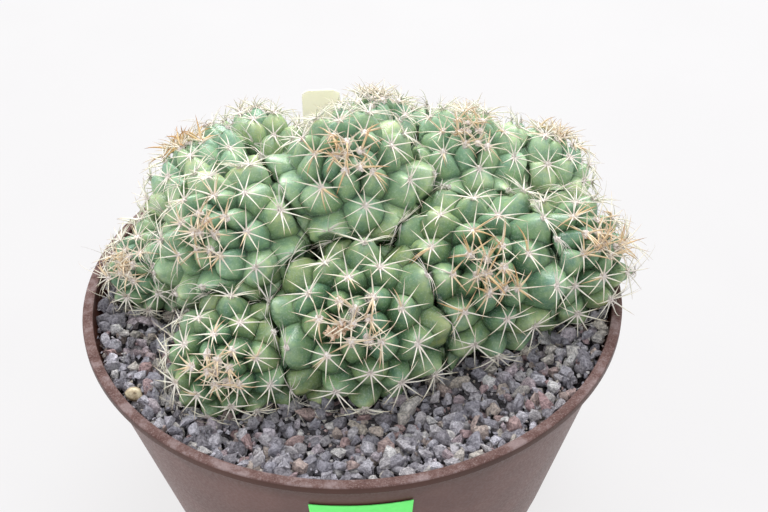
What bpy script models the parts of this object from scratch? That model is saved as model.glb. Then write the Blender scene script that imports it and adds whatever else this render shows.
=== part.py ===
"""A clump of globular, warty cactus heads with star-shaped spine clusters, growing in a
round brown plastic pot that is filled with a mineral mix and topped with lava gravel.

Units are metres, +Z is up, and the origin is the middle of the pot's base.
The pot's front, with its plain sticky label, looks along -Y.
"""

import math
import random

import bmesh
import bpy
from mathutils import Matrix, Vector
from mathutils.geometry import intersect_point_line

MM = 0.001
GAP = 0.3 * MM
MERGE = 0.01 * MM

# The pot
RIM_RADIUS = 105 * MM
POT_HEIGHT = 92 * MM
LIP_WIDTH = 2.4 * MM
LIP_HEIGHT = 3.2 * MM
LIP_ROUNDING = 0.9 * MM
WALL = 1.6 * MM
TAPER = 0.255  # how far the wall runs inwards for each unit that it goes down
FLOOR = 2.2 * MM
BASE_ROUNDING = 2.0 * MM
ROUND_STEPS = 36
POT_SHARP = math.radians(30)
DRAIN_HOLES = 6
DRAIN_RADIUS = 4.5 * MM
DRAIN_CIRCLE = 60 * MM
WALL_TOP_RADIUS = RIM_RADIUS - LIP_WIDTH
WALL_TOP = POT_HEIGHT - LIP_HEIGHT

# What fills the pot
GRAVEL_TOP = 83 * MM
GRAVEL_DEPTH = 10 * MM
GRAVEL_CELL = 9.6 * MM
STONE_HEIGHT = 2.4 * MM
STONE_CLEAR = 5.0 * MM
STONE_FADE = 8.0 * MM
STONE_JITTER = 0.32  # of a cell
WALL_CLIMB = 4.0 * MM
CLIMB_START = 72 * MM  # from the middle of the pot
CLIMB_END = 94 * MM
CLIMB_FADE = 2.2  # times as far from the heads as the stones
LEAST_FOOTPRINT = 0.45  # of a head's radius
MIX_TOP = GRAVEL_TOP - GRAVEL_DEPTH - GAP

# The stems stand in plain holes
STEM_RADIUS = 8.5 * MM
STEM_SIDES = 8
STEM_FOOT = 60 * MM
STEM_REACH = 74 * MM  # the furthest that a foot stands from the pot's axis
HOLE_RADIUS = STEM_RADIUS + 1.4 * GAP  # over its corners, so that its flat sides clear the stem's

# The heads: middle, radius over the warts, lean and its compass angle, length of the
# lower half against the radius, and how many warts a whole ball of this size would have
HEADS = {
    "head_01": ((2, -35, 100), 31.0, 41, -97, 1.10, 48),
    "head_02": ((-46, -43, 93), 23.0, 50, -99, 1.00, 44),
    "head_03": ((46, -13, 103), 32.0, 43, -85, 1.00, 50),
    "head_04": ((0, 16, 129), 28.0, 27, -93, 1.25, 38),
    "head_05": ((-43, 2, 114), 28.0, 45, -122, 1.15, 48),
    "head_06": ((-78.5, 12, 92.5), 19.0, 42, -132, 1.00, 40),
    "head_07": ((-57.5, 40, 109), 23.5, 38, 122, 1.20, 44),
    "head_08": ((83, -1, 99), 26.0, 36, -47, 1.00, 46),
    "head_09": ((48, 39, 116.5), 25.0, 12, -100, 1.20, 44),
    "head_10": ((79, 43, 107), 21.5, 25, 45, 1.15, 40),
    "head_11": ((10.5, 55, 117), 24.5, 14, 70, 1.20, 44),
    "head_12": ((-38, 66, 110.5), 20.0, 58, 100, 1.15, 42),
    "head_13": ((20, 84, 98), 19.0, 30, 78, 1.00, 38),
    "head_14": ((49, 73, 101), 19.0, 30, 58, 1.00, 38),
}
GOLDEN_ANGLE = math.pi * (3 - math.sqrt(5))
VALLEY_DEPTH = 0.29  # of the head's radius
VALLEY_SHALLOWEST = 0.3  # of that depth, where the warts end
VALLEY_FADE = 0.3
WART_ALONG = 0.22  # half of a wart's top, towards the head's tip, of the wart spacing
WART_ACROSS = 0.29
WART_LEAN = 0.06  # how far a wart's top shifts towards the head's tip, of the head's radius
WART_EDGE_DROP = 0.02  # of the head's radius
BALD_BELOW = -0.80  # cosine of the angle from the tip where the warts end
BALD_HEIGHT = 0.88  # of the head's radius, below there
CORNER_MERGE = 0.3  # of the wart spacing: corners this near count as one
HEAD_SHARP = math.radians(35)

# The spines: a star on the top of each wart
SPINE_LENGTH = 11 * MM
SPINE_HUB = 0.84 * MM  # the radius of the small face that a star grows from, and its rise
SPINE_LEAST_REACH = 0.33  # of its length, in the direction of the side that it grows from
SPINE_RISES = [math.radians(angle) for angle in (18, 28, 38, 50)]
SPINE_LEAST_RISE = 1.5 * MM
SPINE_CLEAR = 0.8 * MM
SPINE_SAMPLES = 8
STAR_CLEAR = 1.5 * MM
STAR_TURN = 0.9
SPINES_NEAR_TIP = 4
SPINES_BELOW = 3
NEAR_TIP_ABOVE = 0.25  # cosine of the angle from the tip
SPINE_GROUND_CLEAR = 3.2 * MM

# How a head that leans over the rim is flattened above it
RIM_CLEAR = 2.6 * MM
RIM_SLOPE = math.radians(60)
RIM_SWINGS = [math.radians(angle) for angle in (-14, 0, 14)]

# The sticky label on the pot's wall, and the tag behind the plants
LABEL_WIDTH = 36 * MM
LABEL_TOP = 77.8 * MM
LABEL_BOTTOM = 31.8 * MM
LABEL_THICKNESS = 0.5 * MM
LABEL_STEPS = 5
TAG_WIDTH = 16.5 * MM
TAG_THICKNESS = 0.9 * MM
TAG_TOP = 128 * MM
TAG_FOOT = 62 * MM
TAG_SHOULDER = 76 * MM
TAG_POINT = 0.3  # the foot's width against the tag's
TAG_PLACE = Vector((-10.5 * MM, 88.5 * MM, 0))


def clear_scene():
    for obj in list(bpy.data.objects):
        bpy.data.objects.remove(obj)


def new_collection(name):
    collection = bpy.data.collections.new(name)
    bpy.context.scene.collection.children.link(collection)
    return collection


def plain_material(name, colour, roughness):
    material = bpy.data.materials.new(name)
    material.use_nodes = True
    shader = material.node_tree.nodes["Principled BSDF"]
    shader.inputs["Base Color"].default_value = (*colour, 1)
    shader.inputs["Roughness"].default_value = roughness
    shader.inputs["Metallic"].default_value = 0
    return material


def new_object(name, mesh_builder, collection, material=None):
    """An object in this collection from a bmesh, which is freed."""
    mesh = bpy.data.meshes.new(name)
    mesh_builder.to_mesh(mesh)
    mesh_builder.free()
    obj = bpy.data.objects.new(name, mesh)
    if material:
        mesh.materials.append(material)
    collection.objects.link(obj)
    return obj


def apply_modifiers(obj):
    graph = bpy.context.evaluated_depsgraph_get()
    mesh = bpy.data.meshes.new_from_object(obj.evaluated_get(graph))
    obj.modifiers.clear()
    old = obj.data
    obj.data = mesh
    bpy.data.meshes.remove(old)


def join_or_cut(obj, operation, other, solver="EXACT"):
    """Applies a Boolean with an object or a collection, whose objects are then removed."""
    modifier = obj.modifiers.new(operation.title(), "BOOLEAN")
    modifier.operation = operation
    modifier.solver = solver
    if isinstance(other, bpy.types.Collection):
        modifier.operand_type = "COLLECTION"
        modifier.collection = other
        used = list(other.objects)
    else:
        modifier.object = other
        used = [other]
    apply_modifiers(obj)
    for used_object in used:
        bpy.data.objects.remove(used_object)


def smooth(obj, angle):
    """Shades it smooth, with the edges that turn by more than this angle kept sharp."""
    obj.data.shade_smooth()
    obj.data.set_sharp_from_angle(angle=angle)


def turned(name, profile, collection, material):
    """A solid of revolution about Z from (radius, height) points, outer side first.

    A profile that starts off the axis is closed into a ring.
    """
    builder = bmesh.new()
    points = [builder.verts.new((radius, 0, height)) for radius, height in profile]
    ends = points[1:]
    if profile[0][0] > 0:
        ends.append(points[0])
    for one, other in zip(points, ends):
        if one.co.x + other.co.x > 0:
            builder.edges.new((one, other))
    obj = new_object(name, builder, collection, material)
    screw = obj.modifiers.new("Turn", "SCREW")
    screw.steps = ROUND_STEPS
    screw.render_steps = ROUND_STEPS
    screw.use_merge_vertices = True
    screw.merge_threshold = MERGE
    apply_modifiers(obj)
    return obj


def rod(name, top, foot, radius, collection):
    """A prism with STEM_SIDES sides between two points."""
    axis = foot - top
    builder = bmesh.new()
    bmesh.ops.create_cone(
        builder, cap_ends=True, segments=STEM_SIDES, radius1=radius, radius2=radius, depth=axis.length
    )
    turn = axis.to_track_quat("Z", "Y").to_matrix().to_4x4()
    builder.transform(Matrix.Translation((top + foot) / 2) @ turn)
    return new_object(name, builder, collection)


def wall_radius(height):
    """The pot wall's outer radius at this height."""
    return WALL_TOP_RADIUS - TAPER * (WALL_TOP - height)


def inner_radius(height):
    return wall_radius(height) - WALL


def make_pot(collection, cutters, material):
    lip = LIP_ROUNDING
    foot = wall_radius(0)
    rounding = BASE_ROUNDING
    profile = [
        (inner_radius(WALL_TOP) + WALL, POT_HEIGHT),
        (RIM_RADIUS - lip, POT_HEIGHT),
        (RIM_RADIUS, POT_HEIGHT - lip),
        (RIM_RADIUS, WALL_TOP + lip / 2),
        (RIM_RADIUS - lip / 2, WALL_TOP),
        (WALL_TOP_RADIUS, WALL_TOP),
        (foot + TAPER * rounding, rounding),
        (foot - rounding, 0),
        (0, 0),
        (0, FLOOR),
        (inner_radius(FLOOR), FLOOR),
        (inner_radius(WALL_TOP), WALL_TOP),
    ]
    pot = turned("pot", profile, collection, material)
    for index in range(DRAIN_HOLES):
        angle = 2 * math.pi * index / DRAIN_HOLES
        middle = Vector((DRAIN_CIRCLE * math.cos(angle), DRAIN_CIRCLE * math.sin(angle), 0))
        reach = Vector((0, 0, 2 * FLOOR))
        rod(f"drain_{index}", middle + reach, middle - reach, DRAIN_RADIUS, cutters)
    join_or_cut(pot, "DIFFERENCE", cutters)
    smooth(pot, POT_SHARP)
    return pot


def middle_of(head):
    return Vector(HEADS[head][0]) * MM


def stem_foot(head):
    """Under the head's middle, but clear of the pot's wall."""
    middle = middle_of(head)
    across = middle.xy
    if across.length > STEM_REACH:
        across = across.normalized() * STEM_REACH
    return Vector((across.x, across.y, STEM_FOOT))


def stem_holes(cutters):
    """Cutters for the holes that the stems and the tag stand in."""
    for head in HEADS:
        foot = stem_foot(head)
        down = (foot - middle_of(head)).normalized()
        rod(f"hole_{head}", middle_of(head), foot + down * GAP, HOLE_RADIUS, cutters)
    slot = bmesh.new()
    bmesh.ops.create_cube(slot, size=1)
    bmesh.ops.scale(
        slot,
        verts=slot.verts,
        vec=(TAG_WIDTH + 2 * GAP, TAG_THICKNESS + 2 * GAP, TAG_TOP - TAG_FOOT + 2 * GAP),
    )
    bmesh.ops.translate(slot, verts=slot.verts, vec=TAG_PLACE + Vector((0, 0, (TAG_TOP + TAG_FOOT) / 2)))
    new_object("slot_tag", slot, cutters)


def make_mix(collection, cutters, material):
    profile = [
        (0, MIX_TOP),
        (inner_radius(MIX_TOP) - GAP, MIX_TOP),
        (inner_radius(FLOOR + GAP) - GAP, FLOOR + GAP),
        (0, FLOOR + GAP),
    ]
    mix = turned("potting_mix", profile, collection, material)
    stem_holes(cutters)
    join_or_cut(mix, "DIFFERENCE", cutters)
    return mix


def footprint(head):
    """The radius of the head's outline near the gravel."""
    radius = HEADS[head][1] * MM
    above = max(0, middle_of(head).z - GRAVEL_TOP - STONE_HEIGHT) / radius
    return radius * math.sqrt(max(LEAST_FOOTPRINT**2, 1 - above**2)) + STONE_CLEAR


def stone_room(x, y):
    """0 under the heads and beside the tag, and rising where the gravel is free."""
    rooms = []
    for head in HEADS:
        away = (Vector((x, y)) - middle_of(head).xy).length - footprint(head)
        rooms.append(max(0.0, away / STONE_FADE))
    return min(rooms)


def make_gravel(collection, cutters, material):
    """A bed whose top is a net of jittered, unevenly raised points, like angular stones."""
    random.seed(11)
    bed_top = bmesh.new()
    cells = math.ceil(2 * RIM_RADIUS / GRAVEL_CELL)
    size = cells * GRAVEL_CELL / 2
    bmesh.ops.create_grid(bed_top, x_segments=cells, y_segments=cells, size=size)
    bmesh.ops.triangulate(bed_top, faces=bed_top.faces)
    for vert in bed_top.verts:
        free = stone_room(vert.co.x, vert.co.y)
        room = min(1.0, free)
        across = [random.uniform(-1, 1) * STONE_JITTER * GRAVEL_CELL * room for _ in range(2)]
        raised = random.uniform(0.0, STONE_HEIGHT) * room
        outwards = (vert.co.xy.length - CLIMB_START) / (CLIMB_END - CLIMB_START)
        raised += WALL_CLIMB * min(1.0, max(0.0, outwards)) * min(1.0, free / CLIMB_FADE)
        vert.co = vert.co + Vector((*across, GRAVEL_TOP + raised))
    sides = bmesh.ops.extrude_edge_only(bed_top, edges=[e for e in bed_top.edges if e.is_boundary])
    for vert in (item for item in sides["geom"] if isinstance(item, bmesh.types.BMVert)):
        vert.co.z = MIX_TOP + GAP
    bmesh.ops.holes_fill(bed_top, edges=[e for e in bed_top.edges if e.is_boundary])
    bmesh.ops.recalc_face_normals(bed_top, faces=bed_top.faces)
    gravel = new_object("gravel", bed_top, collection, material)
    inside = turned(
        "inside",
        [
            (0, POT_HEIGHT),
            (inner_radius(POT_HEIGHT) - GAP, POT_HEIGHT),
            (inner_radius(MIX_TOP) - GAP, MIX_TOP),
            (0, MIX_TOP),
        ],
        cutters,
        None,
    )
    join_or_cut(gravel, "INTERSECT", inside)
    stem_holes(cutters)
    join_or_cut(gravel, "DIFFERENCE", cutters)
    return gravel


def spiral(count):
    """Unit directions on a golden-angle spiral from +Z down."""
    directions = []
    for index in range(count):
        height = 1 - (2 * index + 1) / count
        across = math.sqrt(1 - height * height)
        angle = index * GOLDEN_ANGLE
        directions.append(Vector((across * math.cos(angle), across * math.sin(angle), height)))
    return directions


def around(direction):
    """Two unit tangents at a direction: towards the tip, and across."""
    towards = Vector((0, 0, 1)) - direction * direction.z
    if towards.length < 0.2:  # beside the tip, where no way leads towards it
        towards = direction.orthogonal()
    towards.normalize()
    return towards, direction.cross(towards)


def valley_directions(warts, spacing):
    """The corners between three neighbouring warts, from the hull of their directions."""
    hull = bmesh.new()
    for wart in warts:
        hull.verts.new(wart)
    bmesh.ops.convex_hull(hull, input=hull.verts)
    bmesh.ops.recalc_face_normals(hull, faces=hull.faces)
    hull.normal_update()
    corners = []
    for face in hull.faces:
        corner = face.normal.copy()
        if all((corner - other).length > CORNER_MERGE * spacing for other in corners):
            corners.append(corner)
    hull.free()
    return corners


def placement(head):
    """The matrix that sets a ball with its tip on +Z at the head's place and lean."""
    lean, compass = (math.radians(angle) for angle in HEADS[head][2:4])
    turn = Matrix.Rotation(compass, 4, "Z") @ Matrix.Rotation(lean, 4, "Y")
    return Matrix.Translation(middle_of(head)) @ turn


def on_ball(direction, radius, drop):
    """A point of the head, whose lower half is fuller than a ball and drawn out by drop.

    The lower half's outline follows a third-power rule where a ball's follows the second.
    """
    point = direction * radius
    if direction.z < 0:
        fullness = (1 + direction.z**3) ** (1 / 3) / math.sqrt(1.001 - direction.z**2)
        point.x *= fullness
        point.y *= fullness
        point.z *= drop
    return point


def room_for(head):
    """The planes that bound a head's room, as (point, outward normal).

    The plane between two heads goes through the circle where their balls would meet.
    """
    middle = middle_of(head)
    radius = HEADS[head][1] * MM
    planes = [(Vector((0, 0, GRAVEL_TOP + GAP)), Vector((0, 0, -1)))]
    for other in HEADS:
        across = middle_of(other) - middle
        reach = radius + HEADS[other][1] * MM + 2 * SPINE_LENGTH
        if other == head or across.length > reach:
            continue
        other_radius = HEADS[other][1] * MM
        share = (across.length_squared + radius**2 - other_radius**2) / (2 * across.length_squared)
        normal = across.normalized()
        planes.append((middle + across * share - normal * GAP / 2, normal))
    for swing in RIM_SWINGS:
        outwards = Vector((middle.x, middle.y, 0)).normalized()
        outwards.rotate(Matrix.Rotation(swing, 3, "Z"))
        edge = outwards * (WALL_TOP_RADIUS - RIM_CLEAR) + Vector((0, 0, POT_HEIGHT + GAP))
        slant = outwards * math.cos(RIM_SLOPE) - Vector((0, 0, math.sin(RIM_SLOPE)))
        planes.append((edge, slant))
    return planes


def room_solid(head, cutters):
    """A cube well clear of the head, cut down to its room."""
    room = bmesh.new()
    bmesh.ops.create_cube(room, size=6 * HEADS[head][1] * MM)
    bmesh.ops.translate(room, verts=room.verts, vec=middle_of(head))
    for point, normal in room_for(head):
        everything = room.verts[:] + room.edges[:] + room.faces[:]
        cut = bmesh.ops.bisect_plane(
            room, geom=everything, plane_co=point, plane_no=normal, clear_outer=True
        )
        edges = [item for item in cut["geom_cut"] if isinstance(item, bmesh.types.BMEdge)]
        if edges:
            bmesh.ops.edgeloop_fill(room, edges=edges)
    bmesh.ops.recalc_face_normals(room, faces=room.faces)
    return new_object(f"room_{head}", room, cutters)


def inside(point, planes, clear):
    return all((point - other).dot(normal) < -clear for other, normal in planes)


def bent_clear(root, tip, planes):
    """The tip of a spine, swung along any plane that it would cross."""
    length = (tip - root).length
    for _ in range(3):
        for point, normal in planes:
            over = (tip - point).dot(normal) + SPINE_CLEAR
            if over > 0:
                tip = tip - normal * over
        tip = root + (tip - root).normalized() * length
    return tip


def apart(one, other):
    """The least distance between two spines, each a (root, tip) pair."""
    (root, tip), (other_root, other_tip) = one, other
    least = math.inf
    for step in range(SPINE_SAMPLES + 1):
        point = root.lerp(tip, step / SPINE_SAMPLES)
        _, share = intersect_point_line(point, other_root, other_tip)
        nearest = other_root.lerp(other_tip, min(1.0, max(0.0, share)))
        least = min(least, (point - nearest).length)
    return least


def spine_tips(hub, up, sideways, planes, spines):
    """A tip for each direction, raised until it clears the other spines, or None."""
    tips = []
    for direction in sideways:
        found = None
        for rise in SPINE_RISES:
            reach = direction * math.cos(rise) + up * math.sin(rise)
            tip = bent_clear(hub, hub + reach * SPINE_LENGTH, planes)
            spine = (hub, tip)
            clear = all(apart(spine, other) > SPINE_CLEAR for other in spines)
            if clear and inside(tip, planes, 0) and (tip - hub).dot(up) > SPINE_LEAST_RISE:
                found = tip
                break
        tips.append(found)
    return tips


def draw_out_spines(ball, corners, top, up, tips):
    """Turns the small face between these corners into a peak with a spine on each side."""
    inner = [face for face in ball.faces if all(vert in corners for vert in face.verts)]
    if len(inner) > 1:
        inner = bmesh.ops.dissolve_faces(ball, faces=inner)["region"]
    peak = bmesh.ops.poke(ball, faces=inner)
    peak["verts"][0].co = top
    for side in peak["faces"]:
        sideways = side.calc_center_median() - top
        sideways = (sideways - up * sideways.dot(up)).normalized()
        tip = max((tip for tip in tips if tip), key=lambda tip: (tip - top).dot(sideways))
        if (tip - top).dot(sideways) > SPINE_LENGTH * SPINE_LEAST_REACH:
            bmesh.ops.poke(ball, faces=[side])["verts"][0].co = tip


def ring_round(wart, reach, count, turn):
    """Directions round a wart, with their unit tangents."""
    towards, across = around(wart)
    for index in range(count):
        angle = turn + 2 * math.pi * index / count
        tangent = towards * math.cos(angle) + across * math.sin(angle)
        yield (wart + tangent * reach[index % len(reach)]).normalized(), tangent


def warty_ball(head):
    """The head's body, built on the hull of directions that are then moved to their places.

    Each wart has four raised points and a low point between each three warts. A wart
    that stands free also has a small face on top, from which its spines are drawn out.
    """
    _, radius, _, _, drop, count = HEADS[head]
    radius *= MM
    place = placement(head)
    planes = room_for(head)
    spine_planes = [(point + SPINE_GROUND_CLEAR * Vector((0, 0, 1)), n) for point, n in planes[:1]]
    spine_planes += planes[1:]
    spacing = math.sqrt(8 * math.pi / (math.sqrt(3) * count))
    warts = spiral(count)
    ball = bmesh.new()
    places = []
    stars = []
    spines = []

    def add(direction, height, shift):
        local = on_ball(direction, radius * height, drop) + shift
        vert = ball.verts.new(direction)
        places.append((vert, place @ local))
        return vert

    for corner in valley_directions(warts, spacing):
        fade = min(1.0, max(VALLEY_SHALLOWEST, (corner.z - BALD_BELOW) / VALLEY_FADE))
        add(corner, 1 - VALLEY_DEPTH * fade, Vector())
    for index, wart in enumerate(warts):
        towards, _ = around(wart)
        shift = towards * radius * WART_LEAN
        height = 1 if wart.z > BALD_BELOW else BALD_HEIGHT
        for direction, _ in ring_round(wart, (spacing * WART_ALONG, spacing * WART_ACROSS), 4, 0):
            add(direction, height - WART_EDGE_DROP, shift)
        hub = place @ (on_ball(wart, radius, drop) + shift)
        if wart.z < BALD_BELOW or not inside(hub, spine_planes, STAR_CLEAR):
            continue
        up = place.to_3x3() @ wart
        number = SPINES_NEAR_TIP if wart.z > NEAR_TIP_ABOVE else SPINES_BELOW
        turn = index * STAR_TURN
        rim = list(ring_round(wart, (SPINE_HUB / radius,), number, turn))
        middles = ring_round(wart, (spacing,), number, turn + math.pi / number)
        sideways = [place.to_3x3() @ tangent for _, tangent in middles]
        tips = spine_tips(hub, up, sideways, spine_planes, spines)
        if any(tips):
            spines += [(hub, tip) for tip in tips if tip]
            corners = [add(direction, 1, shift) for direction, _ in rim]
            stars.append((corners, hub + up * SPINE_HUB, up, tips))
    bmesh.ops.convex_hull(ball, input=ball.verts)
    for vert, point in places:
        vert.co = point
    for star in stars:
        draw_out_spines(ball, *star)
    bmesh.ops.recalc_face_normals(ball, faces=ball.faces)
    return ball


def make_head(head, collection, cutters, material):
    """One body: the warty, spiny ball within its room, with its stem."""
    obj = new_object(head, warty_ball(head), collection, material)
    stem = rod(f"stem_{head}", middle_of(head), stem_foot(head), STEM_RADIUS, cutters)
    join_or_cut(obj, "INTERSECT", room_solid(head, cutters), solver="MANIFOLD")
    join_or_cut(obj, "UNION", stem, solver="MANIFOLD")
    smooth(obj, HEAD_SHARP)
    return obj


def make_label(collection, material):
    """A thin sheet that follows the pot's wall."""
    edge = bmesh.new()
    top = edge.verts.new((wall_radius(LABEL_TOP) + GAP, 0, LABEL_TOP))
    bottom = edge.verts.new((wall_radius(LABEL_BOTTOM) + GAP, 0, LABEL_BOTTOM))
    edge.edges.new((top, bottom))
    label = new_object("pot_label", edge, collection, material)
    arc = LABEL_WIDTH / wall_radius(LABEL_TOP)
    screw = label.modifiers.new("Arc", "SCREW")
    screw.angle = arc
    screw.steps = LABEL_STEPS
    screw.render_steps = LABEL_STEPS
    sheet = label.modifiers.new("Sheet", "SOLIDIFY")
    sheet.thickness = LABEL_THICKNESS
    sheet.offset = 1
    label.rotation_euler.z = -math.pi / 2 - arc / 2
    label.data.shade_smooth()
    return label


def make_tag(collection, material):
    """A plain strip whose lower end narrows."""
    strip = bmesh.new()
    bmesh.ops.create_cube(strip, size=1)
    bmesh.ops.scale(strip, verts=strip.verts, vec=(TAG_WIDTH, TAG_THICKNESS, TAG_TOP - TAG_FOOT))
    bmesh.ops.translate(strip, verts=strip.verts, vec=(0, 0, (TAG_TOP + TAG_FOOT) / 2))
    everything = strip.verts[:] + strip.edges[:] + strip.faces[:]
    shoulder = Vector((0, 0, TAG_SHOULDER))
    bmesh.ops.bisect_plane(strip, geom=everything, plane_co=shoulder, plane_no=(0, 0, 1))
    for vert in strip.verts:
        if vert.co.z < TAG_SHOULDER - MM:
            vert.co.x *= TAG_POINT
    tag = new_object("plant_label", strip, collection, material)
    tag.location = TAG_PLACE
    return tag


def main():
    clear_scene()
    parts = new_collection("potted_cactus_clump")
    cutters = new_collection("cutters")
    pot_brown = plain_material("pot_brown", (0.115, 0.062, 0.052), 0.45)
    mix_brown = plain_material("mix_brown", (0.050, 0.035, 0.025), 0.95)
    lava_grey = plain_material("lava_grey", (0.170, 0.150, 0.160), 0.92)
    plant_green = plain_material("plant_green", (0.100, 0.210, 0.085), 0.50)
    label_green = plain_material("label_green", (0.100, 0.900, 0.130), 0.60)
    tag_yellow = plain_material("tag_yellow", (0.820, 0.830, 0.480), 0.45)
    make_pot(parts, cutters, pot_brown)
    make_mix(parts, cutters, mix_brown)
    make_gravel(parts, cutters, lava_grey)
    for head in HEADS:
        make_head(head, parts, cutters, plant_green)
    make_label(parts, label_green)
    make_tag(parts, tag_yellow)


main()
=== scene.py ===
"""The looks of a potted cactus clump: warty green heads with starry spines, lava gravel,
a brown plastic pot, a plain sticker and a plain tag, on a pale floor in soft light.
"""

import math

import bmesh
import bpy
import numpy as np
from mathutils import Matrix, Quaternion, Vector, noise


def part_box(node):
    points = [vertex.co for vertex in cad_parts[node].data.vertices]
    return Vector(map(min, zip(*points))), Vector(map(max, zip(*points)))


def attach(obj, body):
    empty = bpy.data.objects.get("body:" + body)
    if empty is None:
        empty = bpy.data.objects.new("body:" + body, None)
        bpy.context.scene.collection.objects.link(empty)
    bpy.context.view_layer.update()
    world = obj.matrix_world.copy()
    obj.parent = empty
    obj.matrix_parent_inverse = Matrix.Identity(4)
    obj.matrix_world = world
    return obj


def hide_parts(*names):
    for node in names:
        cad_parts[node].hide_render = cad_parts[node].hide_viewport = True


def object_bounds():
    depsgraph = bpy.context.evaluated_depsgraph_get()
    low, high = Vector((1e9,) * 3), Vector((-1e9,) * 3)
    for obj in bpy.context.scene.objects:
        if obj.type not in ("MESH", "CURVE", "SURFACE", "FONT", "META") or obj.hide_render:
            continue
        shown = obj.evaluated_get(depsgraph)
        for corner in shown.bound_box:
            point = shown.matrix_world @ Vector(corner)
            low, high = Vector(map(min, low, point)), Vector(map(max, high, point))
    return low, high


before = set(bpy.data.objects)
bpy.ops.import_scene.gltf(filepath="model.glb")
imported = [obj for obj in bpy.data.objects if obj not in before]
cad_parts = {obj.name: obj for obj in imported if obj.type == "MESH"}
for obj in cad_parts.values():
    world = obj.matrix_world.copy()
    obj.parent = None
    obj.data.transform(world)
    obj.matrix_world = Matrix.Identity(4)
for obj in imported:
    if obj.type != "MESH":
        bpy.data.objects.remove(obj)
cad_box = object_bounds()

MM = 0.001
TURN = 2 * math.pi

# The pot
RIM_RADIUS = 105 * MM
POT_HEIGHT = 92 * MM
LIP_WIDTH = 2.4 * MM
LIP_HEIGHT = 3.2 * MM
LIP_BAND = 4.0 * MM
LIP_ROUNDING = 0.7 * MM
LIP_INNER_ROUNDING = 0.6 * MM
LIP_LOWER_ROUNDING = 0.4 * MM
WALL = 1.6 * MM
TAPER = 0.255
FLOOR = 2.2 * MM
BASE_ROUNDING = 2.0 * MM
POT_STEPS = 180
POT_SHARP = math.radians(40)
DRAIN_HOLES = 6
DRAIN_RADIUS = 4.5 * MM
DRAIN_CIRCLE = 60 * MM
DRAIN_SIDES = 32
DRAIN_CUT = 4 * MM
WALL_TOP_RADIUS = RIM_RADIUS - LIP_WIDTH
WALL_TOP = POT_HEIGHT - LIP_HEIGHT

# The sticker and the tag
STICKER_WIDTH = 36 * MM
STICKER_GRID = (28, 30)
STICKER_FACES = (0.75 * MM, 0.45 * MM)
STICKER_CURL = 5 * MM
STICKER_CORNER = 0.72
STICKER_LOWER = 0.2
TAG_GRID = (8, 40)
TAG_FACES = (-0.4 * MM, 0.2 * MM)
TAG_CORNER = 2.5 * MM
TAG_SHOULDER = 76 * MM
TAG_POINT = 0.3
TAG_BOW = 0.28 * MM
TAG_BOW_FROM = 86 * MM
TAG_BOW_FADE = 30 * MM
SHEET_SHARP = math.radians(50)

# The gravel, which climbs a little towards the wall
GRAVEL_TOP = 83 * MM
GRAVEL_DEPTH = 10 * MM
CLIMB = 4.2 * MM
CLIMB_START = 72 * MM
CLIMB_WIDTH = 22 * MM
# A dark bed under the loose stones: painted shade between and under them
BED_TOP = 81.6 * MM
BED_RADIUS = 97.6 * MM
BED_TAPER = 2.6 * MM
BED_SIDES = 96
STONE_SHARP = math.radians(32)
STRETCH = ((0.95, 1.25), (0.8, 1.05), (0.6, 0.85))
# How many shapes of stones there are, and from how many corners each
LARGE_STONES = (30, 13)
SMALL_STONES = (16, 9)
UNDER_HEADS = 2.5 * MM
PEBBLE_PLACE = Vector((-80.6, -52.8, 88.6)) * MM
PEBBLE_SIZE = Vector((3.2, 2.6, 2.7)) * MM
# The layers of loose stones, in mm: pitch, jitter, sizes, levels over the ground, the
# share of the places that is filled, and how far the middles stay from the pebble's
STONE_LAYERS = {
    "gravel_lower": (5.0, 1.1, (4.2, 6.4), (-2.8, -1.6), 1.0, 0),
    "gravel_upper": (5.5, 1.5, (4.2, 7.6), (-0.4, 0.9), 0.88, 4.6),
    "gravel_grit": (2.6, 1.1, (1.2, 2.8), (-1.4, 0.6), 0.7, 0),
}

# The stems: places along them and their widths there, a little slimmer than their holes
STEM_RADIUS = 8.5 * MM
STEM_PLAY = 0.97
STEM_RISE = 0.2
STEM_SIDES = 16
STEM_FOOT = 60 * MM
STEM_REACH = 74 * MM
STEM_PROFILE = ((0.0, 0.8), (0.3, 1.0), (0.9, 0.97), (1.0, 0.86))
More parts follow.
